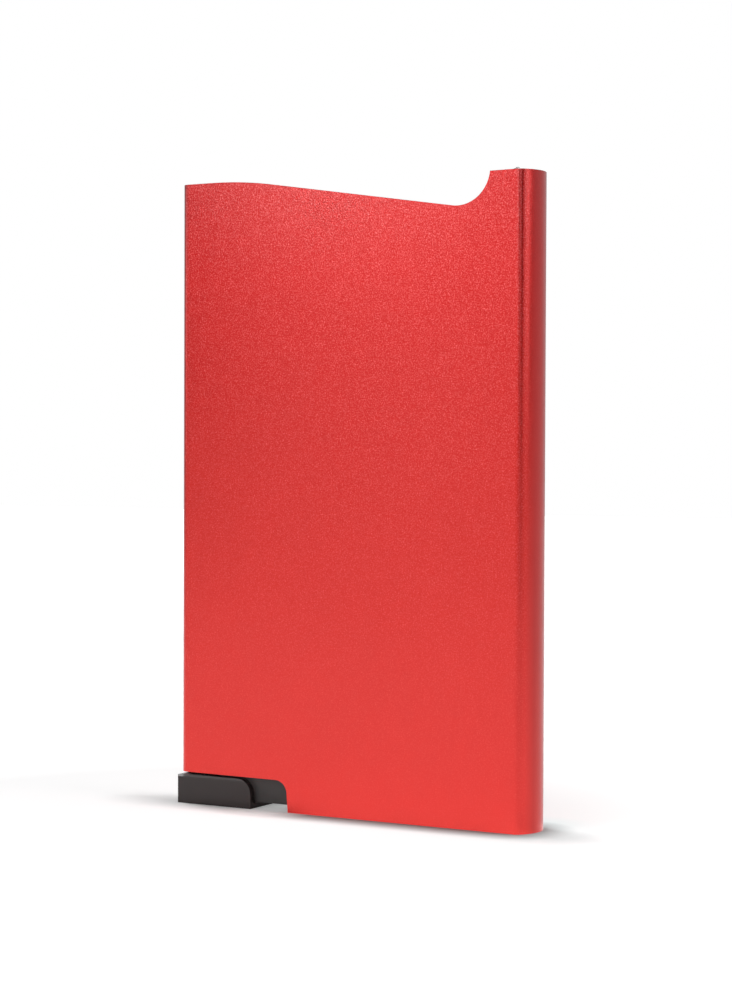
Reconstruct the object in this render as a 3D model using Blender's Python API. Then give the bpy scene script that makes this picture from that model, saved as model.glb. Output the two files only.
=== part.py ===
"""Pop-up card holder: an extruded aluminium sleeve, closed at the bottom by a plastic insert.

A thumb slider at the lower left runs along the insert. Its fork pushes the short arm of a
stepped ejector lever, which swings up and lifts each card by a different amount.

Frame: X runs across the front from left to right, Y from the front face to the back, Z up.
The origin is the middle of the bottom edge. Lengths are in metres.
"""

import math

import bmesh
import bpy
from mathutils import Matrix, Vector

# Cards and the sleeve round them
CARD_WIDTH = 0.0540
CAVITY_DEPTH = 0.0060
SLEEVE_WALL = 0.0010
SLEEVE_CORNER_RADIUS = 0.0016
SLEEVE_SIDE_RADIUS = 0.0054
SLEEVE_HEIGHT = 0.0959

# Top edge of the sleeve, the same through both walls
PLATEAU_WIDTH = 0.0123
CREST_RADIUS = 0.0700
SHOULDER_WIDTH = 0.0065
SHOULDER_DROP = 0.0009
NOTCH_DEPTH = 0.0047
NOTCH_RADIUS = 0.0053

# Cut-out at the lower left, where the slider shows
CUTOUT_WIDTH = 0.0205
CUTOUT_HEIGHT = 0.0048
CUTOUT_RADIUS = 0.0020

# Felt strips that grip the card edges; the thickness is at their middle
STRIP_THICKNESS = 0.0025
STRIP_WIDTH = 0.0048
STRIP_PROUD = 0.0005
STRIP_SLANT = 0.0008
STRIP_FOOT_GAP = 0.0007

# Bottom insert
BASE_FLOOR = 0.0010
CHEEK_WALL = 0.0009
END_BLOCK_WIDTH = 0.0031
SEAT_RIB = 0.0010
SEAT_POCKETS = 4

# Thumb slider and its fork
SLIDER_LENGTH = 0.0140
SLIDER_FLOOR = 0.0008
SLIDER_END_WALL = 0.0010
SLIDER_END_CROWN = 0.0006
SLIDER_WING = 0.00095
SLIDER_CORNER_RADIUS = 0.0023
FORK_PRONG = 0.0010
FORK_CHAMFER = 0.0004

# Ejector lever and its pin
PIVOT_OFFSET = 0.0130
SWING = math.radians(74)
PIN_RADIUS = 0.00085
HUB_RADIUS = 0.0019
SHORT_ARM_WIDTH = 0.0011
SHORT_ARM_THICKNESS = 0.0022
KNUCKLE_RADIUS = 0.0009
NECK_HEIGHT = 0.0028
FINGER_COUNT = 5
LONGEST_FINGER = 0.0300
FINGER_STEP = 0.0040
FINGER_HEIGHT = 0.0018
FINGER_TIP_HEIGHT = 0.0012
FINGER_TIP_RADIUS = 0.0006

# Clearances
PRESS_GAP = 0.0001
SLIDE_GAP = 0.0002
EDGE_GAP = 0.0003
STOP_GAP = 0.0001
TIP_GAP = 0.0010
OVERRUN = 0.0020

# Fineness of round stretches
CORNER_STEPS = 8
CROWN_STEPS = 12
CREST_STEPS = 10
NOTCH_STEPS = 14
ROUND_SIDES = 32
SHARP_ANGLE = math.radians(30)

# Finishes: colour, roughness, metallic
FINISHES = {
    "anodised_red": ((0.72, 0.045, 0.035), 0.38, 0.85),
    "slider_black": ((0.048, 0.040, 0.038), 0.45, 0.0),
    "insert_grey": ((0.052, 0.046, 0.044), 0.55, 0.0),
    "lever_grey": ((0.060, 0.058, 0.058), 0.50, 0.0),
    "pin_steel": ((0.60, 0.60, 0.62), 0.25, 1.0),
    "strip_felt": ((0.075, 0.070, 0.068), 0.95, 0.0),
}

# Worked out: the sleeve
CAVITY_WIDTH = CARD_WIDTH + 2 * STRIP_THICKNESS
SLEEVE_WIDTH = CAVITY_WIDTH + 2 * SLEEVE_WALL
SLEEVE_DEPTH = CAVITY_DEPTH + 2 * SLEEVE_WALL
SLEEVE_LEFT = -SLEEVE_WIDTH / 2
SLEEVE_RIGHT = SLEEVE_WIDTH / 2
SHOULDER_Z = SLEEVE_HEIGHT - SHOULDER_DROP

# Worked out: how far the slider goes, and the short arm that turns it into the swing
SLIDER_RIGHT = SLEEVE_LEFT + SLIDER_LENGTH
SLIDER_TRAVEL = CUTOUT_WIDTH - SLIDER_LENGTH - STOP_GAP
SLIDER_TOP = CUTOUT_HEIGHT - EDGE_GAP
SHORT_ARM_LENGTH = SLIDER_TRAVEL / 2 / math.sin(SWING / 2)
PIVOT_X = SLEEVE_LEFT + PIVOT_OFFSET
PIVOT_Z = SLIDER_FLOOR + SLIDE_GAP + KNUCKLE_RADIUS + SHORT_ARM_LENGTH
KNUCKLE_X = PIVOT_X - SLIDER_TRAVEL / 2
KNUCKLE_Z = PIVOT_Z - SHORT_ARM_LENGTH * math.cos(SWING / 2)
FORK_HALF_GAP = KNUCKLE_RADIUS + SLIDE_GAP
FORK_HALF_WIDTH = FORK_HALF_GAP + FORK_PRONG
FORK_TOP = KNUCKLE_Z + FORK_CHAMFER + SLIDE_GAP

# Worked out: the lever's comb
LEVER_TOP = PIVOT_Z + HUB_RADIUS
SHORTEST_FINGER = LONGEST_FINGER - (FINGER_COUNT - 1) * FINGER_STEP
NECK_LENGTH = SHORTEST_FINGER - FINGER_HEIGHT
COMB_DEPTH = CAVITY_DEPTH - 2 * EDGE_GAP
FINGER_WIDTH = COMB_DEPTH / FINGER_COUNT
COMB_LEFT = PIVOT_X + NECK_LENGTH

# Worked out: the insert, which the cards stand on
BASE_LEFT = -CAVITY_WIDTH / 2 + PRESS_GAP
BASE_RIGHT = CAVITY_WIDTH / 2 - PRESS_GAP
BASE_DEPTH = CAVITY_DEPTH - 2 * PRESS_GAP
BASE_BOTTOM = SLIDER_FLOOR + SLIDE_GAP
BASE_FLOOR_TOP = BASE_BOTTOM + BASE_FLOOR
SEAT_Z = LEVER_TOP + SLIDE_GAP
RAIL_Z = LEVER_TOP - FINGER_HEIGHT - EDGE_GAP
CHANNEL_WIDTH = BASE_DEPTH - 2 * CHEEK_WALL
HUB_THICKNESS = CHANNEL_WIDTH - 2 * SLIDE_GAP
CHEEK_LEFT = SLEEVE_LEFT + SLIDER_END_WALL + SLIDER_TRAVEL + EDGE_GAP
CHEEK_RIGHT = COMB_LEFT - EDGE_GAP - SLIDE_GAP
SEAT_BLOCK_LEFT = PIVOT_X + LONGEST_FINGER + TIP_GAP


def arc(centre_x, centre_z, radius, start, end, steps):
    """Points of an arc, with both of its ends; angles in radians from +X towards +Z."""
    turns = (start + (end - start) * step / steps for step in range(steps + 1))
    return [(centre_x + radius * math.cos(a), centre_z + radius * math.sin(a)) for a in turns]


def tube_section(inset):
    """Plan outline of the tube, drawn in by a distance: flat faces and crowned narrow sides."""
    corner = SLEEVE_CORNER_RADIUS - inset
    side = SLEEVE_SIDE_RADIUS - inset
    corner_y = SLEEVE_DEPTH / 2 - SLEEVE_CORNER_RADIUS
    side_x = SLEEVE_RIGHT - SLEEVE_SIDE_RADIUS
    lean = math.asin(corner_y / (side - corner))
    corner_x = side_x + (side - corner) * math.cos(lean)
    quarter = math.pi / 2
    front = arc(corner_x, -corner_y, corner, -quarter, -lean, CORNER_STEPS)
    crown = arc(side_x, 0, side, -lean, lean, CROWN_STEPS)
    back = arc(corner_x, corner_y, corner, lean, quarter, CORNER_STEPS)
    right_end = front + crown[1:-1] + back
    left_end = [(-x, -y) for x, y in right_end]
    return right_end + left_end


def new_object(name, builder):
    """A scene object that takes over a bmesh, with its normals pointing out."""
    bmesh.ops.recalc_face_normals(builder, faces=builder.faces)
    mesh = bpy.data.meshes.new(name)
    builder.to_mesh(mesh)
    builder.free()
    made = bpy.data.objects.new(name, mesh)
    bpy.context.scene.collection.objects.link(made)
    return made


def pull(builder, ring, way):
    """Extrudes the face on a ring of vertices and gives back the ring at the far end."""
    face = builder.faces.new(ring)
    pulled = bmesh.ops.extrude_face_region(builder, geom=[face])
    moved = [item for item in pulled["geom"] if isinstance(item, bmesh.types.BMVert)]
    bmesh.ops.translate(builder, verts=moved, vec=way)
    return moved


def across(name, outline, front, back):
    """A solid whose side view, as X and Z points, runs from one Y place to another."""
    builder = bmesh.new()
    ring = [builder.verts.new((x, front, z)) for x, z in outline]
    pull(builder, ring, Vector((0, back - front, 0)))
    return new_object(name, builder)


def upright(name, outline, low, high):
    """A solid whose plan view, as X and Y points, runs from one height to another."""
    builder = bmesh.new()
    ring = [builder.verts.new((x, y, low)) for x, y in outline]
    pull(builder, ring, Vector((0, 0, high - low)))
    return new_object(name, builder)


def block(name, x_span, y_span, z_span):
    """A plain box between two X, two Y and two Z places."""
    (left, right), (front, back), (low, high) = x_span, y_span, z_span
    size = Matrix.Diagonal((right - left, back - front, high - low, 1))
    place = Matrix.Translation(((left + right) / 2, (front + back) / 2, (low + high) / 2))
    builder = bmesh.new()
    bmesh.ops.create_cube(builder, size=1, matrix=place @ size)
    return new_object(name, builder)


def pivot_cylinder(name, radius, half_length):
    """A cylinder on the lever's axis, which lies across the card holder."""
    turn = Matrix.Rotation(math.pi / 2, 4, "X")
    builder = bmesh.new()
    bmesh.ops.create_cone(
        builder,
        cap_ends=True,
        segments=ROUND_SIDES,
        radius1=radius,
        radius2=radius,
        depth=2 * half_length,
        matrix=turn,
    )
    made = new_object(name, builder)
    made.location = (PIVOT_X, 0, PIVOT_Z)
    return made


def combine(target, tool, operation):
    """A Boolean of two solids; the tool stays in the file as a hidden wire helper."""
    tool.hide_render = True
    tool.display_type = "WIRE"
    modifier = target.modifiers.new(tool.name, "BOOLEAN")
    modifier.operation = operation
    modifier.solver = "EXACT"
    modifier.object = tool


def cut(target, *tools):
    for tool in tools:
        combine(target, tool, "DIFFERENCE")


def join(target, *tools):
    for tool in tools:
        combine(target, tool, "UNION")


def finish(piece, finish_name):
    """Gives a piece its material, and smooth shading that keeps its hard edges."""
    colour, roughness, metallic = FINISHES[finish_name]
    material = bpy.data.materials.get(finish_name) or bpy.data.materials.new(finish_name)
    material.use_nodes = True
    shader = material.node_tree.nodes["Principled BSDF"]
    shader.inputs["Base Color"].default_value = (*colour, 1)
    shader.inputs["Roughness"].default_value = roughness
    shader.inputs["Metallic"].default_value = metallic
    piece.data.materials.append(material)
    piece.data.shade_smooth()
    piece.data.set_sharp_from_angle(angle=SHARP_ANGLE)


def top_edge_outline():
    """Everything above the sleeve's top edge: plateau, falling slope, thumb notch, shoulder."""
    shoulder_x = SLEEVE_RIGHT - SHOULDER_WIDTH
    notch_z = SHOULDER_Z - NOTCH_DEPTH + NOTCH_RADIUS
    rise = notch_z - SHOULDER_Z
    notch_x = shoulder_x - math.sqrt(NOTCH_RADIUS**2 - rise**2)
    corner_x = SLEEVE_LEFT + PLATEAU_WIDTH
    run = notch_x - corner_x
    fall = SLEEVE_HEIGHT - notch_z
    slope = math.atan2(fall, run) + math.asin(NOTCH_RADIUS / math.hypot(run, fall))
    quarter = math.pi / 2
    tangent = CREST_RADIUS * math.tan(slope / 2)
    crest_x = corner_x - tangent
    crest_z = SLEEVE_HEIGHT - CREST_RADIUS
    notch_end = -math.asin(rise / NOTCH_RADIUS)
    crest = arc(crest_x, crest_z, CREST_RADIUS, quarter, quarter - slope, CREST_STEPS)
    notch = arc(notch_x, notch_z, NOTCH_RADIUS, -quarter - slope, notch_end, NOTCH_STEPS)
    far_left = min(SLEEVE_LEFT, crest_x) - OVERRUN
    far_right = SLEEVE_RIGHT + OVERRUN
    above = SLEEVE_HEIGHT + OVERRUN
    outline = [(far_left, SLEEVE_HEIGHT), *crest, *notch]
    return outline + [(far_right, SHOULDER_Z), (far_right, above), (far_left, above)]


def cutout_outline():
    """The lower left opening: square at the outside, with one rounded inner corner."""
    right = SLEEVE_LEFT + CUTOUT_WIDTH
    corner_x = right - CUTOUT_RADIUS
    corner_z = CUTOUT_HEIGHT - CUTOUT_RADIUS
    corner = arc(corner_x, corner_z, CUTOUT_RADIUS, 0, math.pi / 2, CORNER_STEPS)
    outside = SLEEVE_LEFT - OVERRUN
    return [(outside, -OVERRUN), (right, -OVERRUN), *corner, (outside, CUTOUT_HEIGHT)]


def make_sleeve():
    """One length of flat extruded tube, milled at the top edge and at the slider."""
    bore = tube_section(SLEEVE_WALL)
    reach = SLEEVE_DEPTH / 2 + OVERRUN
    sleeve = upright("sleeve", tube_section(0), 0, SLEEVE_HEIGHT + OVERRUN / 2)
    cut(
        sleeve,
        upright("sleeve_bore", bore, -OVERRUN, SLEEVE_HEIGHT + OVERRUN),
        across("sleeve_top_cut", top_edge_outline(), -reach, reach),
        across("sleeve_slider_cut", cutout_outline(), -reach, reach),
    )
    finish(sleeve, "anodised_red")


def make_base():
    """The insert that closes the bottom, carries the lever and guides the slider."""
    half_depth = BASE_DEPTH / 2
    half_channel = CHANNEL_WIDTH / 2
    half_slot = SHORT_ARM_THICKNESS / 2 + SLIDE_GAP
    slot_right = KNUCKLE_X + SLIDER_TRAVEL + FORK_HALF_WIDTH + EDGE_GAP
    whole_depth = (-half_depth - OVERRUN, half_depth + OVERRUN)
    channel = (-half_channel, half_channel)
    above_floor = (BASE_FLOOR_TOP, SEAT_Z + OVERRUN)
    footprint = tube_section(SLEEVE_WALL + PRESS_GAP)
    base = upright("base_insert", footprint, BASE_BOTTOM, SEAT_Z)
    slider_room = (BASE_LEFT - OVERRUN, CHEEK_LEFT)
    under_slider_room = (BASE_BOTTOM - OVERRUN, CUTOUT_HEIGHT + PRESS_GAP)
    rails = (CHEEK_RIGHT, SEAT_BLOCK_LEFT)
    lever_room = (BASE_LEFT + END_BLOCK_WIDTH, SEAT_BLOCK_LEFT)
    fork_room = (CHEEK_LEFT - OVERRUN, slot_right)
    through_floor = (BASE_BOTTOM - OVERRUN, BASE_FLOOR_TOP + BASE_FLOOR)
    cut(
        base,
        block("base_slider_room", slider_room, whole_depth, under_slider_room),
        block("base_rails", rails, whole_depth, (RAIL_Z, SEAT_Z + OVERRUN)),
        block("base_lever_room", lever_room, channel, above_floor),
        block("base_fork_slot", fork_room, (-half_slot, half_slot), through_floor),
        pivot_cylinder("base_pin_hole", PIN_RADIUS + PRESS_GAP, half_depth + OVERRUN),
    )
    pitch = (BASE_RIGHT - SEAT_BLOCK_LEFT - SEAT_RIB) / SEAT_POCKETS
    for number in range(SEAT_POCKETS):
        left = SEAT_BLOCK_LEFT + SEAT_RIB + number * pitch
        pocket = (left, left + pitch - SEAT_RIB)
        cut(base, block(f"base_pocket_{number + 1}", pocket, channel, above_floor))
    finish(base, "insert_grey")


def slider_outline():
    """Front view of the slider: a low block whose leading top corner is rounded."""
    corner_x = SLIDER_RIGHT - SLIDER_CORNER_RADIUS
    corner_z = SLIDER_TOP - SLIDER_CORNER_RADIUS
    corner = arc(corner_x, corner_z, SLIDER_CORNER_RADIUS, 0, math.pi / 2, CORNER_STEPS)
    return [(SLEEVE_LEFT, 0), (SLIDER_RIGHT, 0), *corner, (SLEEVE_LEFT, SLIDER_TOP)]


def slider_end_outline():
    """Plan view of what is cut off the slider's left end to give it a slight crown."""
    half_depth = SLEEVE_DEPTH / 2
    radius = (half_depth**2 + SLIDER_END_CROWN**2) / (2 * SLIDER_END_CROWN)
    reach = math.asin((half_depth + OVERRUN) / radius)
    centre_x = SLEEVE_LEFT + radius
    end = arc(centre_x, 0, radius, math.pi - reach, math.pi + reach, CROWN_STEPS)
    outside = SLEEVE_LEFT - OVERRUN
    return [*end, (outside, -half_depth - OVERRUN), (outside, half_depth + OVERRUN)]


def fork_outline():
    """The two prongs that hold the lever's knuckle, chamfered at their mouth."""
    low = SLIDER_FLOOR / 2
    left = KNUCKLE_X - FORK_HALF_WIDTH
    right = KNUCKLE_X + FORK_HALF_WIDTH
    gap_left = KNUCKLE_X - FORK_HALF_GAP
    gap_right = KNUCKLE_X + FORK_HALF_GAP
    mouth = FORK_TOP - FORK_CHAMFER
    right_prong = [(right, low), (right, FORK_TOP), (gap_right + FORK_CHAMFER, FORK_TOP)]
    gap = [(gap_right, mouth), (gap_right, SLIDER_FLOOR), (gap_left, SLIDER_FLOOR), (gap_left, mouth)]
    left_prong = [(gap_left - FORK_CHAMFER, FORK_TOP), (left, FORK_TOP), (left, low)]
    return right_prong + gap + left_prong


def make_slider():
    """A cap over the insert's lower end, whose T-shaped fork runs in the floor slot."""
    half_depth = SLEEVE_DEPTH / 2
    half_room = half_depth - SLIDER_WING
    half_head = CHANNEL_WIDTH / 2 - SLIDE_GAP
    half_waist = SHORT_ARM_THICKNESS / 2
    outside = half_depth + OVERRUN
    waist_x = (KNUCKLE_X - FORK_HALF_WIDTH - OVERRUN, KNUCKLE_X + FORK_HALF_WIDTH + OVERRUN)
    waist_z = (-OVERRUN, BASE_FLOOR_TOP + SLIDE_GAP)
    room_x = (SLEEVE_LEFT + SLIDER_END_WALL, SLIDER_RIGHT + OVERRUN)
    room_z = (SLIDER_FLOOR, SLIDER_TOP + OVERRUN)
    slider = across("thumb_slider", slider_outline(), -half_depth, half_depth)
    fork = across("slider_fork", fork_outline(), -half_head, half_head)
    cut(
        fork,
        block("slider_fork_front", waist_x, (-outside, -half_waist), waist_z),
        block("slider_fork_back", waist_x, (half_waist, outside), waist_z),
    )
    cut(
        slider,
        block("slider_room", room_x, (-half_room, half_room), room_z),
        upright("slider_end_cut", slider_end_outline(), -OVERRUN, SLIDER_TOP + OVERRUN),
    )
    join(slider, fork)
    finish(slider, "slider_black")


def lever_beam_outline():
    """Side view of the hub and the neck in one: a round end and a bar that tapers off it."""
    underside = LEVER_TOP - NECK_HEIGHT
    end = COMB_LEFT + FINGER_HEIGHT
    start_turn = math.pi / 2
    end_turn = 2 * math.pi + math.asin((underside - PIVOT_Z) / HUB_RADIUS)
    hub = arc(PIVOT_X, PIVOT_Z, HUB_RADIUS, start_turn, end_turn, ROUND_SIDES)
    return [*hub, (end, LEVER_TOP - FINGER_TIP_HEIGHT), (end, LEVER_TOP)]


def short_arm_outline():
    """The bar from the hub to the round knuckle, leaning left when the slider is at rest."""
    lean = math.atan2(KNUCKLE_Z - PIVOT_Z, KNUCKLE_X - PIVOT_X)
    along = Vector((math.cos(lean), math.sin(lean)))
    side = Vector((-along.y, along.x)) * SHORT_ARM_WIDTH / 2
    root = Vector((PIVOT_X, PIVOT_Z)) + along * (PIN_RADIUS + HUB_RADIUS) / 2
    open_turn = math.pi - math.asin(SHORT_ARM_WIDTH / 2 / KNUCKLE_RADIUS)
    start_turn = lean - open_turn
    end_turn = lean + open_turn
    knuckle = arc(KNUCKLE_X, KNUCKLE_Z, KNUCKLE_RADIUS, start_turn, end_turn, ROUND_SIDES)
    return [tuple(root + side), tuple(root - side), *knuckle]


def comb_plan():
    """Plan view of the comb: its fingers lie side by side and step back from the longest."""
    half_depth = COMB_DEPTH / 2
    outline = [(COMB_LEFT, half_depth), (COMB_LEFT, -half_depth)]
    for number in reversed(range(FINGER_COUNT)):
        tip = PIVOT_X + LONGEST_FINGER - number * FINGER_STEP
        back = half_depth - number * FINGER_WIDTH
        outline += [(tip, back - FINGER_WIDTH), (tip, back)]
    return outline


def nose_outline(tip):
    """What is cut off the upper edge of a finger's tip to round it."""
    centre_x = tip - FINGER_TIP_RADIUS
    centre_z = LEVER_TOP - FINGER_TIP_RADIUS
    nose = arc(centre_x, centre_z, FINGER_TIP_RADIUS, 0, math.pi / 2, CORNER_STEPS)
    above = LEVER_TOP + OVERRUN
    beyond = tip + FINGER_TIP_RADIUS
    return [*nose, (centre_x, above), (beyond, above), (beyond, centre_z)]


def make_comb():
    """The stepped fingers, with rounded upper tips and an underside that rises to them."""
    rise = (FINGER_HEIGHT - FINGER_TIP_HEIGHT) / (LONGEST_FINGER - NECK_LENGTH)
    builder = bmesh.new()
    low = LEVER_TOP - FINGER_HEIGHT
    ring = [builder.verts.new((x, y, low)) for x, y in comb_plan()]
    pull(builder, ring, Vector((0, 0, FINGER_HEIGHT)))
    for vert in ring:
        vert.co.z += rise * (vert.co.x - COMB_LEFT)
    comb = new_object("lever_comb", builder)
    for number in range(FINGER_COUNT):
        tip = PIVOT_X + LONGEST_FINGER - number * FINGER_STEP
        back = COMB_DEPTH / 2 - number * FINGER_WIDTH
        if number == 0:
            back += OVERRUN
        front = -COMB_DEPTH / 2 - OVERRUN
        cut(comb, across(f"lever_nose_{number + 1}", nose_outline(tip), front, back))
    return comb


def make_ejector():
    """The lever: hub, knuckled short arm, neck and a comb whose fingers step back."""
    half_hub = HUB_THICKNESS / 2
    half_arm = SHORT_ARM_THICKNESS / 2
    lever = across("ejector_lever", lever_beam_outline(), -half_hub, half_hub)
    join(
        lever,
        across("lever_short_arm", short_arm_outline(), -half_arm, half_arm),
        make_comb(),
    )
    cut(lever, pivot_cylinder("lever_bore", PIN_RADIUS + PRESS_GAP, half_hub + OVERRUN))
    pivot = Vector((PIVOT_X, 0, PIVOT_Z))
    lever.data.transform(Matrix.Translation(-pivot))
    lever.location = pivot
    finish(lever, "lever_grey")


def make_pin():
    """The steel pin that the lever swings on, held in the insert's two cheeks."""
    finish(pivot_cylinder("pivot_pin", PIN_RADIUS, BASE_DEPTH / 2), "pin_steel")


def make_strip(name, side):
    """A felt strip, glued into a narrow side; its top is cut so that it rises to the cards."""
    face = CARD_WIDTH / 2 - PRESS_GAP
    radius = SLEEVE_SIDE_RADIUS - SLEEVE_WALL - PRESS_GAP
    half_width = STRIP_WIDTH / 2
    reach = math.asin(half_width / radius)
    glued = arc(SLEEVE_RIGHT - SLEEVE_SIDE_RADIUS, 0, radius, -reach, reach, CROWN_STEPS)
    section = [(face, -half_width), *glued, (face, half_width)]
    low = SEAT_Z + STRIP_FOOT_GAP
    high = SHOULDER_Z + STRIP_PROUD
    builder = bmesh.new()
    ring = [builder.verts.new((side * x, y, low)) for x, y in section]
    top = pull(builder, ring, Vector((0, 0, high - low)))
    for vert in top:
        vert.co.z -= STRIP_SLANT * (side * vert.co.x - face) / STRIP_THICKNESS
    finish(new_object(name, builder), "strip_felt")


def build():
    for old in list(bpy.data.objects):
        bpy.data.objects.remove(old)
    make_sleeve()
    make_base()
    make_slider()
    make_ejector()
    make_pin()
    make_strip("felt_strip_left", -1)
    make_strip("felt_strip_right", 1)


build()
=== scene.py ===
"""Pop-up card holder, dressed for its studio photograph.

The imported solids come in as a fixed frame. Each operator below makes one piece, or one
group of like pieces, in place of its solid and gives it a procedural finish. The last
operator sets up the floor, the lights and the camera.

Frame: X runs across the front from left to right, Y from the front face to the back, Z up.
Lengths are in metres.
"""

import math
import random

import bmesh
import bpy
from bpy.props import FloatProperty, FloatVectorProperty, IntProperty, PointerProperty
from bpy.types import Operator, Panel, PropertyGroup
from mathutils import Matrix, Vector


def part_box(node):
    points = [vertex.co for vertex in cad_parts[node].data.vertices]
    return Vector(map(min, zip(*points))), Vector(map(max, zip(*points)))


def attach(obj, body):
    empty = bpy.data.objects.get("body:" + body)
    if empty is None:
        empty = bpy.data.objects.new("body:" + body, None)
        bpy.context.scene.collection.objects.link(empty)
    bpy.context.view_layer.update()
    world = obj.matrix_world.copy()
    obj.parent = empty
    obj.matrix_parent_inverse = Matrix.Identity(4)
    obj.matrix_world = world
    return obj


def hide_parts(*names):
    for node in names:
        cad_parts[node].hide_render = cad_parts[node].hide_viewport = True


bl_info = {
    "name": "Pop-up Card Holder",
    "version": (1, 0, 0),
    "blender": (4, 5, 0),
    "location": "3D View > Sidebar > Card Holder",
    "description": "Builds an anodised card holder with its thumb slider and ejector lever",
    "category": "Add Mesh",
}

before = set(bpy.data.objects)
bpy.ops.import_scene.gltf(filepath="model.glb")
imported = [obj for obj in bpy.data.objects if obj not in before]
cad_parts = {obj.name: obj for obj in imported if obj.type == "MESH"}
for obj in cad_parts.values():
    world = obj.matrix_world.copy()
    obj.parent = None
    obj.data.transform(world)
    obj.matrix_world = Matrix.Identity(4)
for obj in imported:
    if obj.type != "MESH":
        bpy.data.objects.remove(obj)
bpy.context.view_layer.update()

SLEEVE_LOW, SLEEVE_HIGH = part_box("sleeve")
SLIDER_LOW, SLIDER_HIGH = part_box("thumb_slider")
PIN_LOW, PIN_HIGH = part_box("pivot_pin")

UP = Vector((0, 0, 1))
TO_FRONT = Vector((0, -1, 0))
QUARTER = math.pi / 2
WHITE = (1, 1, 1, 1)

OVERRUN = 0.002  # how far a cutting solid reaches past the piece
MERGE = 0.000001  # vertices closer than this become one
FLAT = math.radians(1)  # faces that differ by less are one flat face
HARD = math.radians(28)  # past this an edge is a real one, and not a facet of a curve
FLAT_FACE_WEIGHT = 80  # how much the large faces decide the shading

# Steps round each curve
CORNER_STEPS = 16
SIDE_STEPS = 30
CREST_STEPS = 14
NOTCH_STEPS = 36
CUTOUT_STEPS = 16
SLIDER_END_STEPS = 12
PIN_STEPS = 64


def length(name, description, default):
    """A size in metres that shows with its unit."""
    return FloatProperty(
        name=name,
        description=description,
        default=default,
        min=0.0,
        precision=5,
        subtype="DISTANCE",
        unit="LENGTH",
    )


def colour(name, description, default):
    """A linear colour without alpha."""
    return FloatVectorProperty(
        name=name,
        description=description,
        default=default,
        min=0.0,
        max=1.0,
        size=3,
        subtype="COLOR",
    )


def angle(name, description, degrees):
    """An angle, kept in radians and shown in degrees."""
    return FloatProperty(
        name=name,
        description=description,
        default=math.radians(degrees),
        subtype="ANGLE",
        unit="ROTATION",
    )


def amount(name, description, default):
    """A plain number from nothing upwards."""
    return FloatProperty(name=name, description=description, default=default, min=0.0)


class SleeveSizes(PropertyGroup):
    """The anodised tube"""

    wall: length("Wall", "Thickness of the tube's wall", 0.0010)
    corner_radius: length("Corner radius", "Radius between a flat face and a narrow side", 0.0013)
    side_radius: length("Side radius", "Radius of the crowned narrow side", 0.0054)
    plateau_width: length("Plateau width", "Level stretch of the top edge at the left", 0.0123)
    crest_radius: length("Crest radius", "Radius where the level stretch starts to fall", 0.0700)
    shoulder_width: length("Shoulder width", "Level stretch right of the thumb notch", 0.0065)
    shoulder_drop: length("Shoulder drop", "How far the shoulder is under the plateau", 0.0009)
    notch_depth: length("Notch depth", "Lowest point of the notch under the shoulder", 0.0047)
    notch_radius: length("Notch radius", "Radius of the thumb notch", 0.0053)
    cutout_width: length("Cut-out width", "Width of the slider's opening", 0.0205)
    cutout_height: length("Cut-out height", "Height of the slider's opening", 0.0048)
    cutout_radius: length("Cut-out radius", "Inner corner of the slider's opening", 0.0020)
    cutout_draft: length("Cut-out draft", "How far the opening widens to its mouth", 0.00022)
    cutout_rise: length("Cut-out rise", "How far the opening's top climbs to the left", 0.00010)
    shoulder_rise: length("Shoulder rise", "How far the shoulder climbs to the right", 0.00007)
    rim_round: length("Rim rounding", "How far the cut edges are broken", 0.00003)


class SliderSizes(PropertyGroup):
    """What is added to the thumb slider's solid"""

    end_run: length("End run", "Where the top starts to fall towards the left end", 0.0013)
    end_fall: length("End fall", "How far the top falls to the left end", 0.00035)
    lip_round: length("Lip rounding", "Radius along the top and down the leading end", 0.00020)
    edge_round: length("Edge rounding", "Radius of the other moulded edges", 0.00006)


class InsideSizes(PropertyGroup):
    """The insert, the lever, the pin and the felt strips"""

    moulded_round: length("Moulded edge", "Radius of the insert's and lever's edges", 0.00008)
    pin_chamfer: length("Pin chamfer", "Broken edge at the ends of the pin", 0.00012)
    felt_round: length("Felt edge", "How far the felt's edges are rounded", 0.00035)
    fibre_length: length("Fibre length", "Length of the loose fibres on the felt", 0.00019)
    fibre_count: IntProperty(
        name="Fibres", description="Loose fibres on each strip's top", default=28, min=0
    )


class Finishes(PropertyGroup):
    """The colours of the pieces"""

    sleeve: colour("Sleeve", "Dye of the anodised sleeve", (0.88, 0.039, 0.030))
    # Speck and shade: bright and dark grains. The bright ones are partly painted glints, and
    # towards the top the two darken the red as a painted balance for the highlight there
    grain_and_glint_speck: colour("Speck", "Bright grains in the sleeve's skin", (0.97, 0.118, 0.110))
    shade: colour("Shade", "Dark grains in the sleeve's skin", (0.56, 0.004, 0.004))
    slider: colour("Slider", "Plastic of the slider", (0.028, 0.018, 0.017))
    insert: colour("Insert", "Plastic of the insert", (0.041, 0.036, 0.035))
    lever: colour("Lever", "Plastic of the lever", (0.060, 0.058, 0.058))
    pin: colour("Pin", "Steel of the pivot pin", (0.60, 0.60, 0.62))
    felt: colour("Felt", "Pile of the friction strips", (0.16, 0.155, 0.15))


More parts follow.
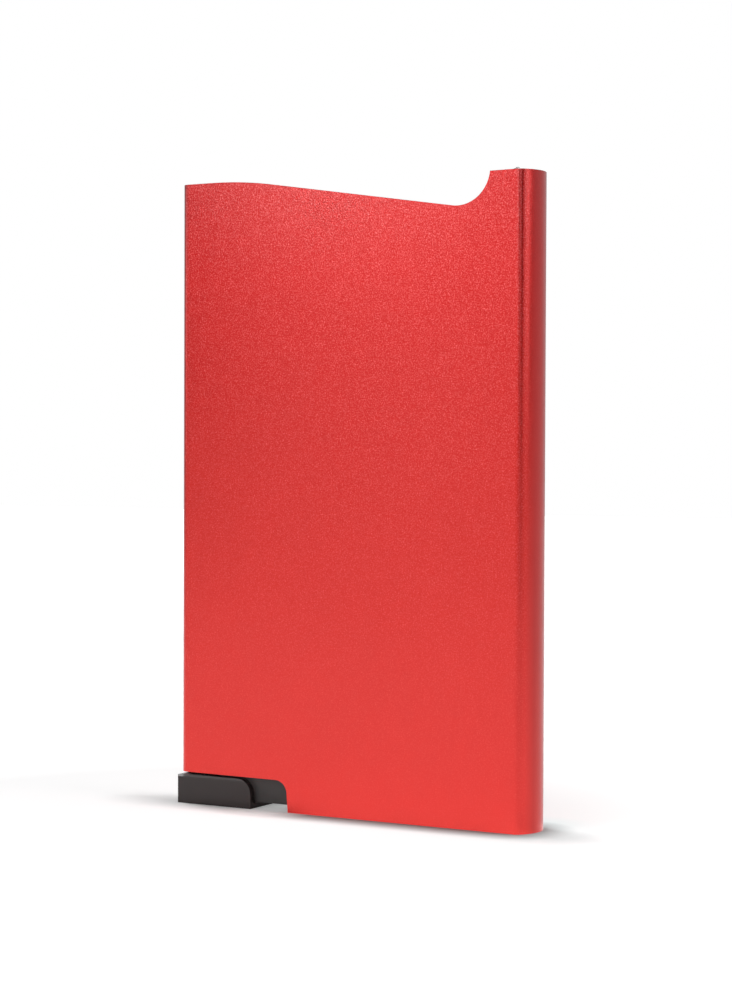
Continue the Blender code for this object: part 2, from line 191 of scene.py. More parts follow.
class StageSettings(PropertyGroup):
    """Camera, floor and backdrop"""

    camera_right: length("Camera right", "How far the camera stands to the right", 0.17155)
    camera_front: length("Camera front", "How far the camera stands in front", 0.29529)
    camera_height: length("Camera height", "Height of the camera over the floor", 0.05450)
    heading: angle("Heading", "How far the camera is turned to the left", 29.947)
    tilt: angle("Tilt", "How far the camera looks up", -1.183)
    roll: angle("Roll", "How far the camera leans", 0.213)
    lens: FloatProperty(
        name="Lens",
        description="Focal length on a 36 mm sensor",
        default=81.77,
        min=1.0,
        subtype="DISTANCE_CAMERA",
    )
    floor_size: length("Floor size", "Width of the square floor", 3.0)
    floor_colour: colour("Floor", "Pale floor", (0.88, 0.88, 0.88))
    sweep: amount("Sweep", "Light from the white sweep behind the object", 0.53)
    backdrop: amount("Backdrop", "Brightness of the white that the camera sees", 1.0)


class CardHolderSettings(PropertyGroup):
    """All the settings of the card holder"""

    sleeve: PointerProperty(type=SleeveSizes)
    slider: PointerProperty(type=SliderSizes)
    inside: PointerProperty(type=InsideSizes)
    finishes: PointerProperty(type=Finishes)
    stage: PointerProperty(type=StageSettings)


class Outline:
    """A flat outline, drawn from point to point, that is then pulled into a solid."""

    def __init__(self, start, normal):
        self.mesh = bmesh.new()
        self.normal = Vector(normal)
        self.first = self.mesh.verts.new(start)
        self.last = self.first

    def line(self, end):
        """Goes straight to a point."""
        drawn = bmesh.ops.extrude_vert_indiv(self.mesh, verts=[self.last])
        self.last = drawn["verts"][0]
        self.last.co = end

    def turn(self, centre, arc, steps):
        """Goes round a centre by an arc in radians, anticlockwise if it is positive."""
        drawn = bmesh.ops.spin(
            self.mesh,
            geom=[self.last],
            cent=centre,
            axis=self.normal,
            angle=arc,
            steps=steps,
        )
        self.last = drawn["geom_last"][0]

    def solid(self, depth):
        """Closes the outline and pulls it along its normal."""
        self.mesh.edges.new((self.last, self.first))
        bmesh.ops.remove_doubles(self.mesh, verts=self.mesh.verts, dist=MERGE)
        filled = bmesh.ops.contextual_create(self.mesh, geom=self.mesh.edges[:])
        pulled = bmesh.ops.extrude_face_region(self.mesh, geom=filled["faces"])
        moved = [item for item in pulled["geom"] if isinstance(item, bmesh.types.BMVert)]
        bmesh.ops.translate(self.mesh, verts=moved, vec=self.normal * depth)
        bmesh.ops.recalc_face_normals(self.mesh, faces=self.mesh.faces)
        return self.mesh


def put_in_scene(name, shape):
    """A scene object at the origin that takes over a bmesh."""
    mesh = bpy.data.meshes.new(name)
    shape.to_mesh(mesh)
    shape.free()
    piece = bpy.data.objects.new(name, mesh)
    bpy.context.scene.collection.objects.link(piece)
    return piece


def apply_modifiers(piece):
    """Swaps a piece's mesh for what its modifiers make of it."""
    depsgraph = bpy.context.evaluated_depsgraph_get()
    shaped = bpy.data.meshes.new_from_object(piece.evaluated_get(depsgraph))
    plain = piece.data
    piece.modifiers.clear()
    piece.data = shaped
    bpy.data.meshes.remove(plain)
    shaped.name = piece.name


def carve(piece, *shapes):
    """Cuts solids out of a piece."""
    for shape in shapes:
        tool = put_in_scene("carving_tool", shape)
        modifier = piece.modifiers.new("Carve", "BOOLEAN")
        modifier.operation = "DIFFERENCE"
        modifier.solver = "EXACT"
        modifier.object = tool
        apply_modifiers(piece)
        bpy.data.objects.remove(tool)


def merged(mesh):
    """A bmesh of a mesh, with its doubles merged."""
    shape = bmesh.new()
    shape.from_mesh(mesh)
    bmesh.ops.remove_doubles(shape, verts=shape.verts, dist=MERGE)
    return shape


def copy_of_node(name, node):
    """A new piece with a solid's shape, its triangles merged into flat faces."""
    shape = merged(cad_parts[node].data)
    bmesh.ops.dissolve_limit(
        shape, angle_limit=FLAT, verts=shape.verts, edges=shape.edges, delimit={"NORMAL"}
    )
    return put_in_scene(name, shape)


def hard_edges(shape):
    """The edges that are more than facets of a curve."""
    return [edge for edge in shape.edges if edge.calc_face_angle(0) > HARD]


def bevel(shape, edges, radius, segments):
    """Rounds some edges of a bmesh."""
    bmesh.ops.bevel(
        shape,
        geom=edges,
        offset=radius,
        offset_type="OFFSET",
        segments=segments,
        profile=0.5,
        affect="EDGES",
        clamp_overlap=True,
        material=-1,
    )


def round_edges(piece, radius, segments=2):
    """Rounds the hard edges and shades the rest smooth, with flat faces kept flat."""
    shape = merged(piece.data)
    bmesh.ops.dissolve_degenerate(shape, edges=shape.edges, dist=MERGE)
    bevel(shape, hard_edges(shape), radius, segments)
    shape.to_mesh(piece.data)
    shape.free()
    shade(piece)


def shade(piece):
    """Smooth shading that leans on the large faces, so they look flat."""
    piece.data.shade_smooth()
    weighted = piece.modifiers.new("Weighted Normal", "WEIGHTED_NORMAL")
    weighted.weight = FLAT_FACE_WEIGHT
    weighted.keep_sharp = True


def dress(piece, body, node, finish):
    """Lets a piece ride on a body in place of its solid, with its finish."""
    if not piece.data.polygons:
        raise RuntimeError(f"{piece.name} came out without a surface")
    piece.data.materials.clear()
    piece.data.materials.append(finish)
    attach(piece, body)
    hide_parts(node)


# Where a Mix node keeps its colours
MIX_COLOUR_INPUTS = (6, 7)
MIX_COLOUR_OUTPUT = 2


class Nodes:
    """Adds nodes to a node tree and links them."""

    def __init__(self, tree):
        self.tree = tree

    def node(self, kind, **settings):
        """A new node, with its settings."""
        made = self.tree.nodes.new(kind)
        for name, value in settings.items():
            setattr(made, name, value)
        return made

    def link(self, source, target):
        """Joins an output to an input."""
        self.tree.links.new(source, target)

    def feed(self, target, value):
        """Puts a number or a colour on an input, or links an output to it."""
        if isinstance(value, (int, float, tuple)):
            target.default_value = value
        else:
            self.link(value, target)

    def remap(self, value, low, high, to_low=0, to_high=1, step="LINEAR"):
        """Stretches a value from one span to another, and clips it there."""
        made = self.node("ShaderNodeMapRange", interpolation_type=step)
        for name, number in (
            ("From Min", low),
            ("From Max", high),
            ("To Min", to_low),
            ("To Max", to_high),
        ):
            made.inputs[name].default_value = number
        self.link(value, made.inputs["Value"])
        return made.outputs["Result"]

    def math(self, operation, *values):
        """Values and numbers put together."""
        made = self.node("ShaderNodeMath", operation=operation)
        for target, value in zip(made.inputs, values):
            self.feed(target, value)
        return made.outputs["Value"]


class Shader(Nodes):
    """Builds one procedural material on its object's own coordinates."""

    def __init__(self, name, base, roughness, metallic=0.0):
        self.material = bpy.data.materials.new(name)
        self.material.use_nodes = True
        super().__init__(self.material.node_tree)
        self.surface = self.tree.nodes["Principled BSDF"]
        self.base = (*base, 1)
        self.set(Base_Color=self.base, Roughness=roughness, Metallic=metallic)
        self.place = self.node("ShaderNodeTexCoord").outputs["Object"]

    def set(self, **values):
        """Numbers and colours on the surface's own sockets."""
        for name, value in values.items():
            self.surface.inputs[name.replace("_", " ")].default_value = value

    def drive(self, **values):
        """Patterns on the surface's own sockets."""
        for name, value in values.items():
            self.link(value, self.surface.inputs[name.replace("_", " ")])

    def stretched(self, scale):
        """The object's coordinates, stretched along its axes."""
        mapping = self.node("ShaderNodeMapping")
        mapping.inputs["Scale"].default_value = scale
        self.link(self.place, mapping.inputs["Vector"])
        return mapping.outputs["Vector"]

    def part(self, axis):
        """One of the object's coordinates: X, Y or Z."""
        parts = self.node("ShaderNodeSeparateXYZ")
        self.link(self.place, parts.inputs["Vector"])
        return parts.outputs[axis]

    def noise(self, scale, detail=2.0, roughness=0.5, place=None):
        """Cloudy noise, from 0 to 1; scale is in cells a metre."""
        made = self.node("ShaderNodeTexNoise")
        made.inputs["Scale"].default_value = scale
        made.inputs["Detail"].default_value = detail
        made.inputs["Roughness"].default_value = roughness
        self.link(place or self.place, made.inputs["Vector"])
        return made.outputs["Fac"]

    def vector(self, operation, place, other=(0, 0, 0), output="Vector"):
        """A place changed by another one; the output Value is a length or a distance."""
        made = self.node("ShaderNodeVectorMath", operation=operation)
        self.link(place, made.inputs[0])
        made.inputs[1].default_value = other
        return made.outputs[output]

    def distance(self, point):
        """How far each spot is from a point."""
        return self.vector("DISTANCE", self.place, point, output="Value")

    def blend(self, factor, first, second):
        """A mix of two colours by a factor from 0 to 1."""
        made = self.node("ShaderNodeMix", data_type="RGBA")
        self.link(factor, made.inputs["Factor"])
        first_input, second_input = MIX_COLOUR_INPUTS
        self.feed(made.inputs[first_input], first)
        self.feed(made.inputs[second_input], second)
        return made.outputs[MIX_COLOUR_OUTPUT]

    def scaled(self, colour, factor):
        """A colour made lighter or darker by a pattern."""
        made = self.node("ShaderNodeVectorMath", operation="SCALE")
        self.link(colour, made.inputs[0])
        self.link(factor, made.inputs["Scale"])
        return made.outputs["Vector"]

    def tint(self, factor):
        """The base colour made lighter or darker by a factor."""
        return tuple(min(1.0, channel * factor) for channel in self.base[:3]) + (1,)

    def bump(self, height, strength, distance, sockets=("Normal",)):
        """Raises and lowers the surface by a height from 0 to 1."""
        made = self.node("ShaderNodeBump")
        made.inputs["Strength"].default_value = strength
        made.inputs["Distance"].default_value = distance
        self.link(height, made.inputs["Height"])
        for socket in sockets:
            self.link(made.outputs["Normal"], self.surface.inputs[socket])


# The sleeve's finish
GRAIN_MEAN = 0.17  # what the grain evens out to
GRAIN_FULL, GRAIN_GONE = 0.0011, 0.0004  # in from a narrow side: where the grain dies out
SIDE_START, SIDE_FULL = 0.0030, 0.0020  # in from a narrow side: where its painted shade and light set in
BEHIND_START, BEHIND_FULL = 0.0009, 0.0024  # back from the front face: the same
SIDE_SHADE_HEIGHT = 0.030  # a narrow side's painted shade is darkest up to here
TOP_BAND = 0.85  # share of the height where the top band, with its painted darker dye and stronger coat, starts

# The slider's polish
POLISH_LOW, POLISH_HIGH = 0.00042, 0.00036  # down from its top: where it sets in
POLISH_FULL, POLISH_GONE = 0.0013, 0.0020  # in from its left end: where it wears off

# The floor's finish right beside the sleeve: a painted shadow, a painted cool edge and a painted
# glow
FOOTPRINT_ROUND = 0.0035  # corner radius of the sleeve's footprint
BESIDE_START = (-0.012, -0.006)  # along X: sets in right of the cut-out
BESIDE_END = (0.029, 0.034)  # along X: grows weaker past the sleeve's right side
BESIDE_PAST = 0.45  # how much is left there
CONTACT_REACH, CONTACT_TINT = 0.005, 0.42  # painted contact shadow
COOL_REACH, COOL_TINT = (0.002, 0.010), (0.86, 0.98, 0.98, 1)  # its painted cool edge, which hides the red light bounced off the sleeve
FOOT_GLOW_REACH, FOOT_GLOW_STRENGTH = 0.007, 0.68  # a painted glow of the floor, seen by all rays but the camera's, that lights the sleeve's foot

# The floor's glow that the camera sees: round a spot, how far from it, and how much. Far off it
# evens the floor to white; near the case and under the cut-out it is painted light over shade
NEAR_SPOT, NEAR_REACH, NEAR_PAINTED_LIGHT = (-0.018, -0.012, 0), (0.05, 0.07), 0.14
FAR_SPOT, FAR_REACH, FAR_WHITE = (0, 0, 0), (0.08, 1.0), 0.5
CUTOUT_SPOT, CUTOUT_REACH, CUTOUT_PAINTED_LIGHT = (-0.0135, 0.001, 0), (0, 0.010), 0.42


def anodised_finish(colours, high):
    """Bead-blasted aluminium under a dyed, clear oxide skin.

    The grain is coarsest at the top of the sleeve and dies out over its crowned sides. Its bright
    specks, and the coat that grows towards the top, are partly painted glints and sheen of the
    key light. The narrow sides are painted darker near the floor and lighter near the top, as
    painted shade and light. The top band has a painted, slightly darker dye and a thicker coat,
    which stand in for the whiter highlight there.
    """
    shader = Shader("anodised_red", colours.sleeve, 0.38, metallic=1.0)
    shader.set(Coat_Weight=0.5, Coat_Roughness=0.20, Coat_IOR=1.65)
    height = shader.part("Z")
    depth = shader.part("Y")
    across = shader.math("ABSOLUTE", shader.part("X"))
    # Rises from the floor to the top. It grows the grain, darkens the red and raises the coat,
    # partly as painted glints and sheen that stand in for the key light's sparkle at the top
    painted_light_rise = shader.remap(height, 0, high.z, 0.14, 1)
    top = shader.remap(height, TOP_BAND * high.z, high.z)

    # Grain: few bright grains among many dark ones; the bright ones are partly painted glints
    blast = shader.noise(5200, detail=1.5, roughness=0.6)
    grain = shader.math("POWER", shader.remap(blast, 0.22, 0.78), 3)
    flat = shader.remap(across, high.x - GRAIN_FULL, high.x - GRAIN_GONE, 1, 0.12)
    grain = shader.math("SUBTRACT", grain, GRAIN_MEAN)
    grain = shader.math("MULTIPLY_ADD", grain, flat, GRAIN_MEAN)

    # Dye, with painted shade and light on the narrow sides and a painted darker top band
    dye = shader.remap(shader.noise(45), 0.3, 0.7)
    even = shader.blend(dye, shader.tint(0.98), shader.tint(1.02))
    grains = shader.blend(grain, (*colours.shade, 1), (*colours.grain_and_glint_speck, 1))
    side = shader.remap(across, high.x - SIDE_START, high.x - SIDE_FULL)
    behind = shader.remap(depth, BEHIND_START - high.y, BEHIND_FULL - high.y)
    side = shader.math("MULTIPLY", side, behind)
    # Narrow sides: painted shade near the floor and painted light near the top
    side_shade_and_light = shader.remap(height, SIDE_SHADE_HEIGHT, high.z, 0.72, 1.13)
    dye = shader.math("MULTIPLY_ADD", shader.math("SUBTRACT", side_shade_and_light, 1.0), side, 1.0)
    # Top band: a painted, slightly darker dye that stands in for the whiter highlight there
    dye = shader.math("MULTIPLY", dye, shader.remap(top, 0, 1, 1, 0.93))
    shader.drive(Base_Color=shader.scaled(shader.blend(painted_light_rise, even, grains), dye))

    # Skin: glossiest on the bright grains, and glossier towards the top along with the painted
    # glints
    mottle = shader.noise(900, detail=3)
    shader.drive(Roughness=shader.remap(mottle, 0.3, 0.7, 0.30, 0.36))
    glint = shader.math("MULTIPLY", painted_light_rise, shader.remap(grain, 0, 1, -0.26, 1.24))
    skin = shader.math("ADD", glint, shader.remap(painted_light_rise, 0, 1, 0.40, 0.60))
    # Top band: a stronger coat, which goes with the painted darker dye there
    skin = shader.math("MULTIPLY_ADD", top, 0.14, skin)
    shader.drive(Coat_Weight=skin)
    shader.bump(blast, strength=1.0, distance=0.00002, sockets=("Normal", "Coat Normal"))
    return shader.material


def moulded_shader(name, base, roughness, grain_scale, depth):
    """Moulded plastic: spark-eroded grain, a faint flow pattern and a satin sheen."""
    shader = Shader(name, base, roughness)
    grain = shader.noise(grain_scale)
    flow = shader.noise(300, detail=3, place=shader.stretched((0.25, 1, 1)))
    shader.drive(Base_Color=shader.blend(flow, shader.tint(0.88), shader.tint(1.12)))
    shader.drive(Roughness=shader.remap(flow, 0.3, 0.7, roughness - 0.05, roughness + 0.05))
    shader.bump(grain, strength=0.5, distance=depth)
    return shader


def slider_finish(base):
    """The slider's plastic, polished by the thumb at the left end of its top."""
    shader = moulded_shader("slider_black", base, 0.40, 7000, 0.00001)
    top = shader.remap(shader.part("Z"), SLIDER_HIGH.z - POLISH_LOW, SLIDER_HIGH.z - POLISH_HIGH)
    end = shader.remap(
        shader.part("X"), SLIDER_LOW.x + POLISH_FULL, SLIDER_LOW.x + POLISH_GONE, 1, 0.1
    )
    shader.drive(Coat_Weight=shader.math("MULTIPLY", top, end))
    shader.set(Coat_Roughness=0.06, Coat_IOR=3.0)
    return shader.material


def steel_finish(base):
    """Ground steel, with fine rings round the pin."""
    shader = Shader("pin_steel", base, 0.25, metallic=1.0)
    rings = shader.noise(2000, place=shader.stretched((0.2, 6, 0.2)))
    shader.drive(Base_Color=shader.blend(rings, shader.tint(0.85), shader.tint(1.1)))
    shader.drive(Roughness=shader.remap(rings, 0.3, 0.7, 0.18, 0.34))
    shader.bump(rings, strength=0.3, distance=0.000005)
    return shader.material


def felt_finish(base):
    """Dense felt: tangled fibres, lighter where they stand up."""
    shader = Shader("strip_felt", base, 0.95)
    shader.set(Sheen_Weight=0.5, Sheen_Roughness=0.5)
    fibres = shader.noise(3500, detail=4, roughness=0.7, place=shader.stretched((1, 1, 0.5)))
    clumps = shader.noise(700)
    tangle = shader.math("MULTIPLY", shader.math("ADD", fibres, clumps), 0.5)
    shader.drive(Base_Color=shader.blend(tangle, shader.tint(0.5), shader.tint(1.6)))
    shader.bump(fibres, strength=0.9, distance=0.00008)
    return shader.material


def gap_to_sleeve(shader):
    """How far a spot of the floor is from the sleeve's footprint."""
    half = (SLEEVE_HIGH.x - FOOTPRINT_ROUND, SLEEVE_HIGH.y - FOOTPRINT_ROUND, 0)
    place = shader.vector("ABSOLUTE", shader.place)
    place = shader.vector("SUBTRACT", place, half)
    place = shader.vector("MAXIMUM", place)
    reach = shader.vector("LENGTH", place, output="Value")
    return shader.math("SUBTRACT", reach, FOOTPRINT_ROUND)


def floor_finish(settings):
    """Pale matt card.

    The camera sees it fade to white away from the case, with painted light that whitens the floor
    right of the case and under the cut-out, and a painted contact shadow right beside the sleeve.
    A painted cool edge hides the red light bounced off the sleeve. All other rays find it glowing
    beside the sleeve, a painted glow which lights the sleeve's foot.
    """
    shader = Shader("studio_floor", settings.floor_colour, 0.8)
    shader.set(Specular_IOR_Level=0.1, Emission_Color=WHITE)
    shader.drive(Roughness=shader.remap(shader.noise(40), 0.3, 0.7, 0.75, 0.85))
    seen = shader.node("ShaderNodeLightPath").outputs["Is Camera Ray"]
    unseen = shader.math("SUBTRACT", 1.0, seen)

    # Right of the cut-out, and weaker past the sleeve's right side
    gap = gap_to_sleeve(shader)
    beside = shader.remap(shader.part("X"), *BESIDE_START)
    past = shader.remap(shader.part("X"), *BESIDE_END, 1, BESIDE_PAST)
    beside = shader.math("MULTIPLY", beside, past)

    # Painted contact shadow, seen by the camera only, with a painted cool edge for all rays that
    # hides the red light bounced off the sleeve
    cool = tuple(channel * share for channel, share in zip(shader.base, COOL_TINT))
    edge = shader.math("MULTIPLY", shader.remap(gap, *COOL_REACH, 1, 0), beside)
    close = shader.math("MULTIPLY", shader.remap(gap, 0, CONTACT_REACH, 1, 0), beside)
    close = shader.math("MULTIPLY", close, seen)
    paint = shader.blend(edge, shader.base, cool)
    shader.drive(Base_Color=shader.blend(close, paint, shader.tint(CONTACT_TINT)))

    # White with the distance, painted light on the shaded floor right of the case, and a painted
    # pool of light under the cut-out, all seen by the camera only
    near = shader.remap(shader.distance(NEAR_SPOT), *NEAR_REACH, 0, NEAR_PAINTED_LIGHT)
    far = shader.remap(shader.distance(FAR_SPOT), *FAR_REACH, 0, FAR_WHITE)
    under = shader.remap(shader.distance(CUTOUT_SPOT), *CUTOUT_REACH, CUTOUT_PAINTED_LIGHT, 0)
    white = shader.math("ADD", shader.math("ADD", near, far), under)
    white = shader.math("MULTIPLY", white, seen)
    # Painted glow: beside the sleeve the floor glows for all rays but the camera's, and so lights
    # the sleeve's foot
    foot_glow = shader.remap(gap, 0, FOOT_GLOW_REACH, FOOT_GLOW_STRENGTH, 0)
    foot_glow = shader.math("MULTIPLY", foot_glow, beside)
    shader.drive(Emission_Strength=shader.math("MULTIPLY_ADD", foot_glow, unseen, white))
    return shader.material


def tube_outline(sizes, inset, height):
    """Plan outline of the tube, drawn in by an inset: flat faces and crowned narrow sides."""
    corner = sizes.corner_radius - inset
    side = sizes.side_radius - inset
    half_depth = SLEEVE_HIGH.y - inset
    corner_y = half_depth - corner
    side_x = SLEEVE_HIGH.x - sizes.side_radius
    lean = math.asin(corner_y / (side - corner))
    corner_x = side_x + (side - corner) * math.cos(lean)
    outline = Outline((-corner_x, -half_depth, height), UP)
    outline.line((corner_x, -half_depth, height))
    for way in (1, -1):
        outline.turn((way * corner_x, way * -corner_y, height), QUARTER - lean, CORNER_STEPS)
        outline.turn((way * side_x, 0, height), 2 * lean, SIDE_STEPS)
        outline.turn((way * corner_x, way * corner_y, height), QUARTER - lean, CORNER_STEPS)
        if way == 1:
            outline.line((-corner_x, half_depth, height))
    return outline


def top_edge_tool(sizes):
    """What is milled off the tube's top: plateau, falling slope, thumb notch and shoulder."""
    left, right, top = SLEEVE_LOW.x, SLEEVE_HIGH.x, SLEEVE_HIGH.z
    behind = SLEEVE_HIGH.y + OVERRUN
    shoulder_z = top - sizes.shoulder_drop
    shoulder_x = right - sizes.shoulder_width
    notch_z = shoulder_z - sizes.notch_depth + sizes.notch_radius
    rise = math.asin((notch_z - shoulder_z) / sizes.notch_radius)
    notch_x = shoulder_x - sizes.notch_radius * math.cos(rise)
    run = notch_x - left - sizes.plateau_width
    fall = top - notch_z
    slope = math.atan2(fall, run) + math.asin(sizes.notch_radius / math.hypot(run, fall))
    crest_x = left + sizes.plateau_width - sizes.crest_radius * math.tan(slope / 2)
    notch_start = -QUARTER - slope
    outline = Outline((left - OVERRUN, behind, top), TO_FRONT)
    outline.line((crest_x, behind, top))
    outline.turn((crest_x, behind, top - sizes.crest_radius), -slope, CREST_STEPS)
    outline.line(
        (
            notch_x + sizes.notch_radius * math.cos(notch_start),
            behind,
            notch_z + sizes.notch_radius * math.sin(notch_start),
        )
    )
    outline.turn((notch_x, behind, notch_z), -rise - notch_start, NOTCH_STEPS)
    outline.line((right, behind, shoulder_z + sizes.shoulder_rise))
    outline.line((right + OVERRUN, behind, shoulder_z + sizes.shoulder_rise))
    outline.line((right + OVERRUN, behind, top + 2 * OVERRUN))
    outline.line((left - OVERRUN, behind, top + 2 * OVERRUN))
    return outline.solid(2 * behind)


def cutout_tool(sizes):
    """The opening for the slider, with one rounded inner corner."""
    behind = SLEEVE_HIGH.y + OVERRUN
    outside = SLEEVE_LOW.x - OVERRUN
    right = SLEEVE_LOW.x + sizes.cutout_width
    corner_x = right - sizes.cutout_radius
    corner_z = sizes.cutout_height - sizes.cutout_radius
    outline = Outline((outside, behind, -OVERRUN), TO_FRONT)
    outline.line((right + sizes.cutout_draft, behind, -OVERRUN))
    outline.line((right + sizes.cutout_draft, behind, 0))
    outline.line((right, behind, corner_z))
    outline.turn((corner_x, behind, corner_z), QUARTER, CUTOUT_STEPS)
    outline.line((SLEEVE_LOW.x, behind, sizes.cutout_height + sizes.cutout_rise))
    outline.line((outside, behind, sizes.cutout_height + sizes.cutout_rise))
    return outline.solid(2 * behind)


class CARDHOLDER_OT_sleeve(Operator):
    """Make the anodised tube with its milled top edge and slider opening"""

    bl_idname = "card_holder.sleeve"
    bl_label = "Sleeve"

    def execute(self, context):
        settings = context.scene.card_holder
        sizes = settings.sleeve
        height = SLEEVE_HIGH.z
        sleeve = put_in_scene("sleeve_shell", tube_outline(sizes, 0, 0).solid(height + OVERRUN))
        bore = tube_outline(sizes, sizes.wall, -OVERRUN).solid(height + 4 * OVERRUN)
        carve(sleeve, bore, top_edge_tool(sizes), cutout_tool(sizes))
        round_edges(sleeve, sizes.rim_round)
        finish = anodised_finish(settings.finishes, SLEEVE_HIGH)
        dress(sleeve, "case", "sleeve", finish)
        return {"FINISHED"}


def slider_end_tool(sizes):
    """What the slider's top loses towards its left end, where it falls in a soft curve."""
    behind = SLIDER_HIGH.y + OVERRUN
    start_x = SLIDER_LOW.x + sizes.end_run
    radius = (sizes.end_run**2 + sizes.end_fall**2) / (2 * sizes.end_fall)
    reach = math.asin(sizes.end_run / radius)
    outline = Outline((start_x, behind, SLIDER_HIGH.z), TO_FRONT)
    outline.turn((start_x, behind, SLIDER_HIGH.z - radius), reach, SLIDER_END_STEPS)
    outline.line((SLIDER_LOW.x - OVERRUN, behind, SLIDER_HIGH.z - sizes.end_fall))
    outline.line((SLIDER_LOW.x - OVERRUN, behind, SLIDER_HIGH.z + OVERRUN))
    outline.line((start_x, behind, SLIDER_HIGH.z + OVERRUN))
    return outline.solid(2 * behind)


class CARDHOLDER_OT_slider(Operator):
    """Make the thumb slider with its moulded edges"""

    bl_idname = "card_holder.slider"
    bl_label = "Thumb slider"

    left_bulge = 0.0008  # the left end wall's curve lies within this

    def execute(self, context):
        settings = context.scene.card_holder
        sizes = settings.slider
        slider = copy_of_node("slider_cap", "thumb_slider")
        carve(slider, slider_end_tool(sizes))
        self.round_lip(slider, sizes.lip_round)
        round_edges(slider, sizes.edge_round)
        finish = slider_finish(settings.finishes.slider)
        dress(slider, "slider", "thumb_slider", finish)
        return {"FINISHED"}

    def round_lip(self, slider, radius):
        """Rounds the outer edges along the top and down the leading end."""
        shape = merged(slider.data)
        lip = [edge for edge in hard_edges(shape) if self.on_lip(edge)]
        bevel(shape, lip, radius, segments=4)
        shape.to_mesh(slider.data)
        shape.free()

    def on_lip(self, edge):
        """True for an edge of the front or back face, but for its left and lower ones."""
        ends = [vertex.co for vertex in edge.verts]
        outer = all(abs(end.y) > SLIDER_HIGH.y - 2 * MERGE for end in ends)
        left = all(end.x < SLIDER_LOW.x + self.left_bulge for end in ends)
        lower = all(end.z < SLIDER_LOW.z + 2 * MERGE for end in ends)
        return outer and not left and not lower


class CARDHOLDER_OT_insert(Operator):
    """Make the insert that closes the bottom and guides the slider"""

    bl_idname = "card_holder.insert"
    bl_label = "Bottom insert"

    def execute(self, context):
        settings = context.scene.card_holder
        insert = copy_of_node("insert_block", "base_insert")
        round_edges(insert, settings.inside.moulded_round)
        plastic = moulded_shader("insert_grey", settings.finishes.insert, 0.5, 5000, 0.00002)
        dress(insert, "case", "base_insert", plastic.material)
        return {"FINISHED"}


class CARDHOLDER_OT_lever(Operator):
    """Make the stepped ejector lever"""

    bl_idname = "card_holder.lever"
    bl_label = "Ejector lever"

    def execute(self, context):
        settings = context.scene.card_holder
        lever = copy_of_node("lever_comb", "ejector_lever")
        round_edges(lever, settings.inside.moulded_round)
        plastic = moulded_shader("lever_grey", settings.finishes.lever, 0.48, 6000, 0.00001)
        dress(lever, "ejector", "ejector_lever", plastic.material)
        return {"FINISHED"}


class CARDHOLDER_OT_pin(Operator):
    """Make the steel pin that the lever swings on"""

    bl_idname = "card_holder.pin"
    bl_label = "Pivot pin"

    def execute(self, context):
        settings = context.scene.card_holder
        pin = put_in_scene("pin_rod", self.rod())
        round_edges(pin, settings.inside.pin_chamfer, segments=1)
        dress(pin, "case", "pivot_pin", steel_finish(settings.finishes.pin))
        return {"FINISHED"}

    def rod(self):
        """A rod between the insert's two cheeks."""
        radius = (PIN_HIGH.z - PIN_LOW.z) / 2
        middle = Matrix.Translation((PIN_LOW + PIN_HIGH) / 2)
        shape = bmesh.new()
        bmesh.ops.create_cone(
            shape,
            cap_ends=True,
            segments=PIN_STEPS,
            radius1=radius,
            radius2=radius,
            depth=PIN_HIGH.y - PIN_LOW.y,
            matrix=middle @ Matrix.Rotation(QUARTER, 4, "X"),
        )
        return shape


# The felt's loose fibres
FIBRE_SEED = 7
FIBRE_FOOT, FIBRE_TIP = 0.000025, 0.000008  # radii
FIBRE_TALL = (0.5, 1)  # shares of the fibre length
FIBRE_LEAN = (-0.5, 0.5)  # radians, each way
FIBRE_SUNK = 0.0001  # how deep the foot is sunk
FIBRE_ACROSS = (0.12, 0.32)  # where they stand, in shares of the strip's thickness
FIBRE_ALONG = (0, 0.06)  # and of its depth, from the front


class CARDHOLDER_OT_strips(Operator):
    """Make the two felt strips that grip the cards"""

    bl_idname = "card_holder.strips"
    bl_label = "Felt strips"

    def execute(self, context):
        settings = context.scene.card_holder
        finish = felt_finish(settings.finishes.felt)
        for side in ("left", "right"):
            strip = copy_of_node(f"felt_{side}", f"felt_strip_{side}")
            round_edges(strip, settings.inside.felt_round, segments=4)
            self.add_fibres(strip, *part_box(f"felt_strip_{side}"), settings.inside)
            dress(strip, "case", f"felt_strip_{side}", finish)
        return {"FINISHED"}

    def add_fibres(self, strip, low, high, sizes):
        """Stands thin hairs on the strip's upper inner corner, each with a lean of its own."""
        chance = random.Random(FIBRE_SEED)
        shape = bmesh.new()
        shape.from_mesh(strip.data)
        edge = sizes.felt_round
        inner, outer = sorted((low.x, high.x), key=abs)
        for _ in range(sizes.fibre_count):
            tall = sizes.fibre_length * chance.uniform(*FIBRE_TALL)
            foot = Vector(
                (
                    inner + (outer - inner) * chance.uniform(*FIBRE_ACROSS),
                    low.y + edge + (high.y - low.y) * chance.uniform(*FIBRE_ALONG),
                    high.z - FIBRE_SUNK,
                )
            )
            lean = Matrix.Rotation(chance.uniform(*FIBRE_LEAN), 4, "X")
            lean = lean @ Matrix.Rotation(chance.uniform(*FIBRE_LEAN), 4, "Y")
            stand = Matrix.Translation((0, 0, tall / 2))
            bmesh.ops.create_cone(
                shape,
                cap_ends=True,
                segments=4,
                radius1=FIBRE_FOOT,
                radius2=FIBRE_TIP,
                depth=tall,
                matrix=Matrix.Translation(foot) @ lean @ stand,
            )
        shape.to_mesh(strip.data)
        shape.free()


SENSOR_WIDTH = 36  # millimetres
CAMERA_SPAN = (0.01, 20)  # nearest and farthest that the camera sees

# Where the sweep grows bright towards the back, and where it ends upwards, on a unit sphere
SWEEP_BACK = (-0.1, 0.6)
SWEEP_RISE = (0.1, 0.45)

